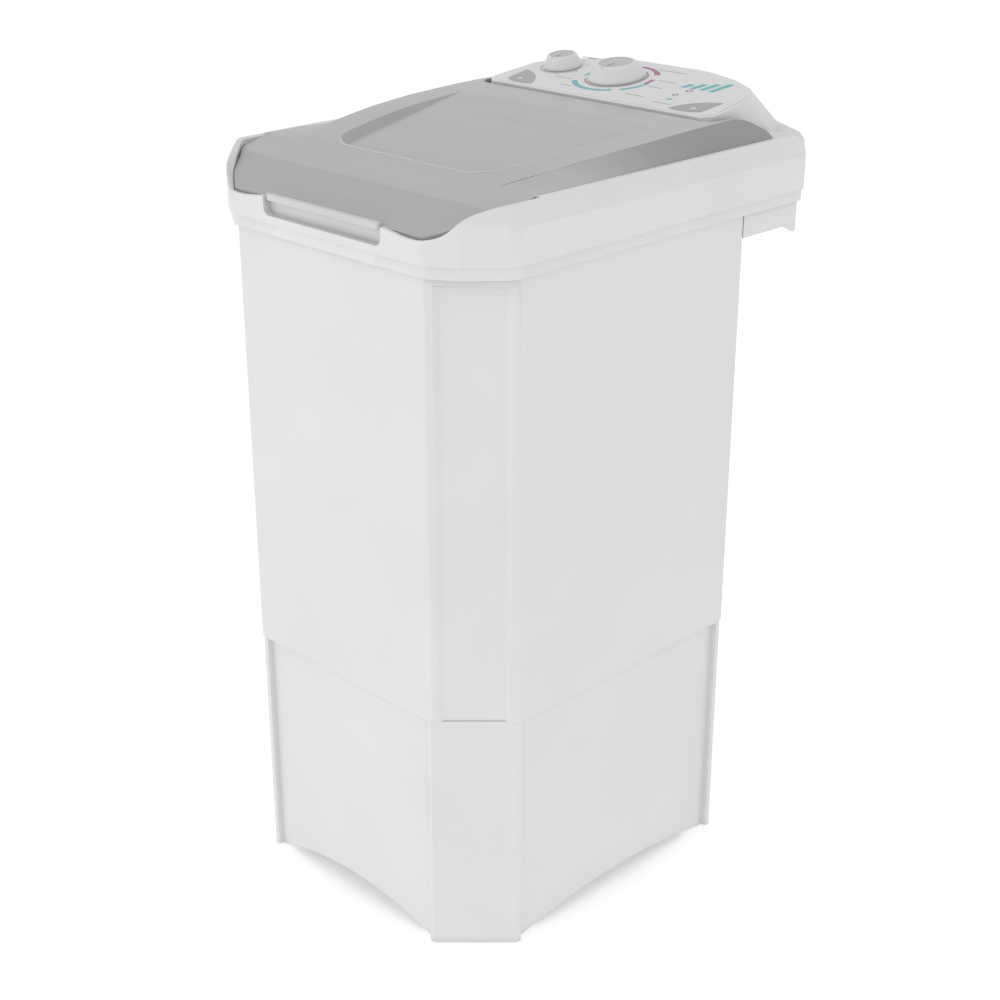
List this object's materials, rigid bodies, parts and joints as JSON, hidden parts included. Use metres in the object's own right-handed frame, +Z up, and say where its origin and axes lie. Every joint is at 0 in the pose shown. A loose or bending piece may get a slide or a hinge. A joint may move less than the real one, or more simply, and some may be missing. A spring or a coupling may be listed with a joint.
{
  "type": "top-loading washing machine",
  "caption": "Free-standing top-loading wash tub with chamfered corners, a smoke-grey hinged lid, a tilted rear console with knobs, and a belt-driven pulsator.",
  "frame": {"origin": "on the floor, under the middle of the machine's bounding box", "axes": "+Z up, -Y out of the front, +X to the right of someone facing the front"},
  "size_m": [0.463, 0.634, 0.9691],
  "materials": {
    "white_shell": "satin white moulded polypropylene with a very fine grain",
    "white_gloss": "smooth white moulded plastic",
    "tub_plastic": "smooth pale moulded polypropylene",
    "smoke_lid": "translucent smoke-grey polystyrene",
    "printed_film": "white film with printed scales",
    "grey_inlay": "mid-grey smooth plastic",
    "cap_plastic": "light grey smooth plastic",
    "grip_plastic": "light grey slightly translucent plastic",
    "switch_plastic": "black moulded thermoset",
    "blue_plastic": "blue moulded plastic",
    "grey_plastic": "grey moulded plastic",
    "pulsator_plastic": "blue-grey moulded plastic",
    "foot_rubber": "dense dark rubber",
    "black_rubber": "soft black rubber",
    "belt_rubber": "ribbed black belt",
    "steel": "zinc-plated steel",
    "plate_steel": "grey painted pressed steel",
    "cast_alloy": "cast aluminium alloy, as cast",
    "motor_alloy": "ribbed motor casing",
    "bronze": "sintered bronze",
    "winding": "laminated core with copper windings"
  },
  "bodies": {
    "root": {"cabinet_shell": "white_shell", "base_skirt": "white_shell", "foot_pads": "foot_rubber", "wash_tub": "tub_plastic", "top_frame": "white_shell", "rear_cover": "white_shell", "cover_screws": "steel", "cord_gland": "black_rubber", "console_shell": "white_gloss", "console_screws": "steel", "console_label": "printed_film", "corner_inlays": "grey_inlay", "lid_bumpers": "black_rubber", "timer_body": "switch_plastic", "selector_switch": "switch_plastic", "lint_filter": "blue_plastic", "drain_elbow": "grey_plastic", "drain_grille": "grey_plastic", "shaft_seal": "black_rubber", "shaft_bushes": "bronze", "bearing_housing": "cast_alloy", "housing_bolts": "steel", "drive_belt": "belt_rubber", "motor_stator": "winding", "motor_housing": "motor_alloy", "motor_cushions": "black_rubber", "motor_bolts": "steel", "motor_plate": "plate_steel", "plate_bolts": "steel", "capacitor": "switch_plastic", "capacitor_clip": "steel"},
    "lid": {"lid": "smoke_lid", "lid_handle": "grip_plastic", "hinge_pins": "white_gloss"},
    "timer_knob": {"timer_knob": "white_gloss", "timer_knob_cap": "cap_plastic", "timer_shaft": "steel"},
    "selector_knob": {"selector_knob": "white_gloss", "selector_knob_cap": "cap_plastic", "selector_shaft": "steel"},
    "pulsator": {"pulsator": "pulsator_plastic", "pulsator_screw": "steel", "pulsator_shaft": "steel", "driven_pulley": "cast_alloy"},
    "rotor": {"motor_shaft": "steel", "motor_rotor": "steel", "drive_pulley": "steel"}
  },
  "joints": [
    {"name": "lid_hinge", "type": "hinge", "parent": "root", "child": "lid", "pos_m": [0, 0.174, 0.909], "axis": [-1, 0, 0], "range_deg": [0, 95]},
    {"name": "timer_turn", "type": "hinge", "parent": "root", "child": "timer_knob", "pos_m": [-0.028, 0.189, 0.94596], "axis": [0, -0.1392, 0.9903], "range_deg": [-300, 0]},
    {"name": "selector_turn", "type": "hinge", "parent": "root", "child": "selector_knob", "pos_m": [-0.126, 0.196, 0.94695], "axis": [0, -0.1392, 0.9903], "range_deg": [-135, 0]},
    {"name": "pulsator_spin", "type": "hinge", "parent": "root", "child": "pulsator", "pos_m": [0, -0.055, 0.28], "axis": [0, 0, 1], "continuous": true},
    {"name": "motor_spin", "type": "hinge", "parent": "root", "child": "rotor", "pos_m": [0, 0.085, 0.25], "axis": [0, 0, 1], "continuous": true}
  ],
  "couplings": [
    {"joint": "motor_spin", "follows": "pulsator_spin", "ratio": 4.5556}
  ]
}
